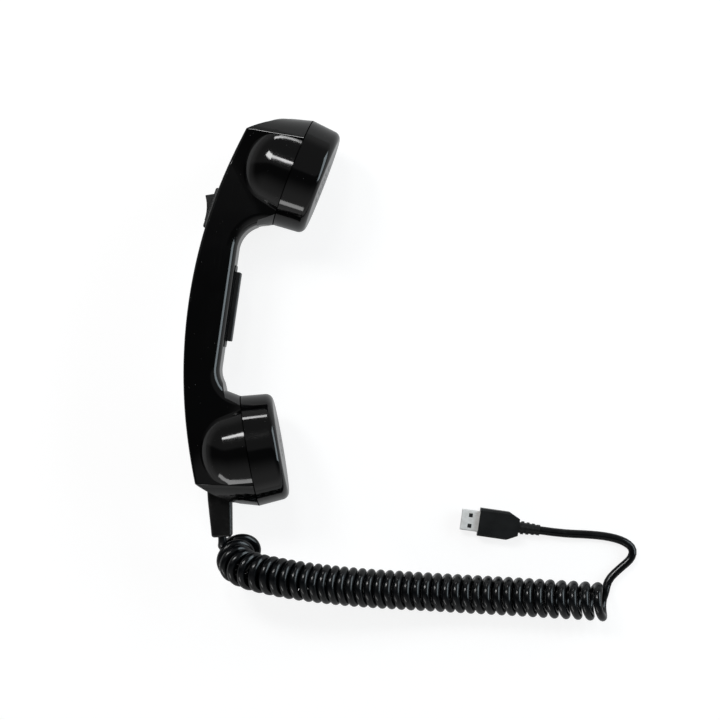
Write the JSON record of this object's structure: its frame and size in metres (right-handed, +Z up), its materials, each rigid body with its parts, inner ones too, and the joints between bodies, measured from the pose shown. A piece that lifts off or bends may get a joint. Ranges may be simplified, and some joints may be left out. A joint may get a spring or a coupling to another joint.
{
  "type": "telephone handset",
  "caption": "Corded telephone handset with round screw caps, push-to-talk bar, rocker switch and a curly cord that ends in a flat plug.",
  "frame": {"origin": "on the floor under the middle of the handset's own box, cord and boot not counted; the handset lies on its side on the rims of its two caps", "axes": "+Y along the handset towards the earpiece, +X the way the two caps face, +Z up, across the handset's width"},
  "size_m": [0.2787, 0.2744, 0.064],
  "materials": {
    "case_plastic": "gloss black injection moulding",
    "cap_plastic": "gloss black injection moulding",
    "switch_plastic": "satin dark grey",
    "bezel_plastic": "satin black",
    "bar_plastic": "satin black",
    "boot_rubber": "soft matt dark grey",
    "cord_jacket": "gloss black jacket",
    "plug_plastic": "satin charcoal",
    "plug_metal": "tin plated",
    "contact_metal": "gold plated",
    "tongue_plastic": "white",
    "cloth": "thin woven dust cloth",
    "foam": "soft foam",
    "capsule_metal": "satin",
    "magnet": "ground",
    "film": "thin film",
    "board": "green board",
    "chip": "moulded black",
    "screw_steel": "zinc plated",
    "spring_steel": "drawn wire",
    "wire_jacket": "coloured insulation"
  },
  "bodies": {
    "handset": {"handle_shell": "case_plastic", "ear_cap": "cap_plastic", "mouth_cap": "cap_plastic", "ear_felt": "cloth", "mouth_felt": "cloth", "ear_gasket": "foam", "mouth_gasket": "foam", "ear_spacer": "foam", "ear_grille": "capsule_metal", "ear_capsule_case": "capsule_metal", "ear_magnet": "magnet", "ear_diaphragm": "film", "mic_holder": "boot_rubber", "mic_capsule": "capsule_metal", "mouth_spacer": "bezel_plastic", "circuit_board": "board", "sound_chip": "chip", "board_parts": "chip", "ptt_frame": "bezel_plastic", "ptt_springs": "spring_steel", "ptt_switch": "chip", "ptt_board": "board", "ptt_board_screws": "screw_steel", "rocker_bezel": "bezel_plastic", "rocker_terminals": "contact_metal", "talk_wires": "wire_jacket", "cord_wires": "wire_jacket", "cord_tail": "cord_jacket", "cord_stop": "screw_steel", "cord_boot": "boot_rubber", "cord_neck": "cord_jacket", "cord_coil": "cord_jacket", "cord_lead": "cord_jacket", "plug_shell": "plug_metal", "plug_tongue": "tongue_plastic", "plug_contacts": "contact_metal", "plug_overmould": "plug_plastic"},
    "push_bar": {"ptt_bar": "bar_plastic"},
    "rocker": {"rocker": "switch_plastic"}
  },
  "joints": [
    {"name": "push_bar_press", "type": "slide", "parent": "handset", "child": "push_bar", "axis": [-1, 0, 0], "range_m": [0, 0.002], "stiffness_N_per_m": 500, "springref_m": -0.001, "deforming": ["ptt_springs"]},
    {"name": "rocker_tilt", "type": "hinge", "parent": "handset", "child": "rocker", "pos_m": [-0.03096, 0.05373, 0.032], "axis": [0, 0, -1], "range_deg": [0, 34]}
  ]
}
